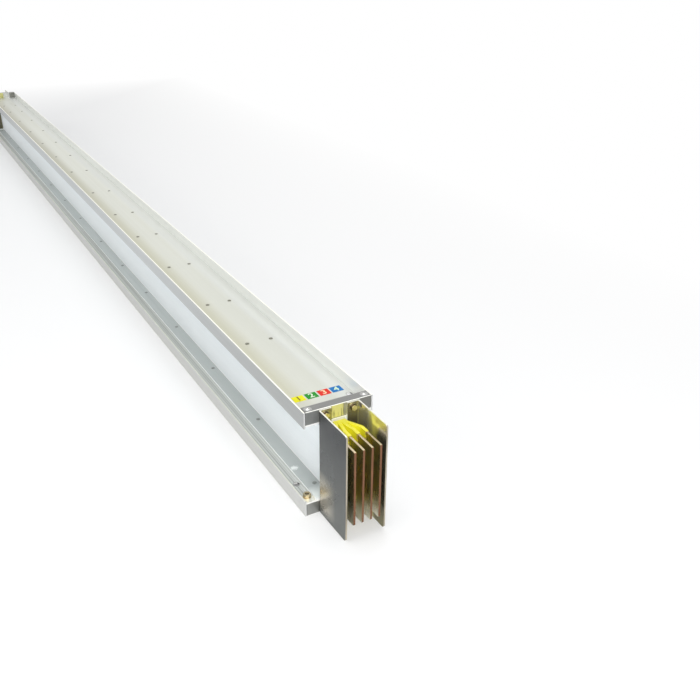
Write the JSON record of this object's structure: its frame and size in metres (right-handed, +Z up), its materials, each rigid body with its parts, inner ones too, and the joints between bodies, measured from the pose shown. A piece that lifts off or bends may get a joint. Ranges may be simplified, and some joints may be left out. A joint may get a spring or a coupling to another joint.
{
  "type": "busbar trunking straight length",
  "caption": "Straight length of sandwich busbar trunking: insulated copper bars between aluminium panels and channel covers, fanned at both ends between earth plates.",
  "frame": {"origin": "middle of the base, under the middle of the length", "axes": "+X along the length, +Y across the width, +Z up"},
  "size_m": [4, 0.14, 0.2218],
  "materials": {
    "cover_aluminium": "satin, pale cream grey",
    "panel_aluminium": "satin, pale blue grey, with fine extruded ribs",
    "block_aluminium": "brushed mid grey",
    "plate_steel": "dark plated sheet, soft gloss",
    "tinned_copper": "copper bar with darkened faces and bright cut edges",
    "yellow_insulation": "glossy yellow film",
    "insulating_board": "matte off-white",
    "bright_steel": "bright zinc plated",
    "yellow_zinc": "yellow passivated zinc",
    "label_vinyl": "printed vinyl label"
  },
  "bodies": {
    "root": {"block_nuts_far": "yellow_zinc", "block_nuts_near": "yellow_zinc", "block_screws_far": "bright_steel", "block_screws_near": "bright_steel", "conductor_1": "tinned_copper", "conductor_2": "tinned_copper", "conductor_3": "tinned_copper", "conductor_4": "tinned_copper", "cover_bottom": "cover_aluminium", "cover_top": "cover_aluminium", "earth_plate_far_left": "plate_steel", "earth_plate_far_right": "plate_steel", "earth_plate_near_left": "plate_steel", "earth_plate_near_right": "plate_steel", "end_block_far_bottom": "block_aluminium", "end_block_far_top": "block_aluminium", "end_block_near_bottom": "block_aluminium", "end_block_near_top": "block_aluminium", "foot_bolts_far": "yellow_zinc", "foot_bolts_near": "yellow_zinc", "side_panel_left": "panel_aluminium", "side_panel_right": "panel_aluminium", "sleeve_1": "yellow_insulation", "sleeve_2": "yellow_insulation", "sleeve_3": "yellow_insulation", "sleeve_4": "yellow_insulation", "strip_bottom": "insulating_board", "strip_top": "insulating_board"}
  },
  "joints": []
}
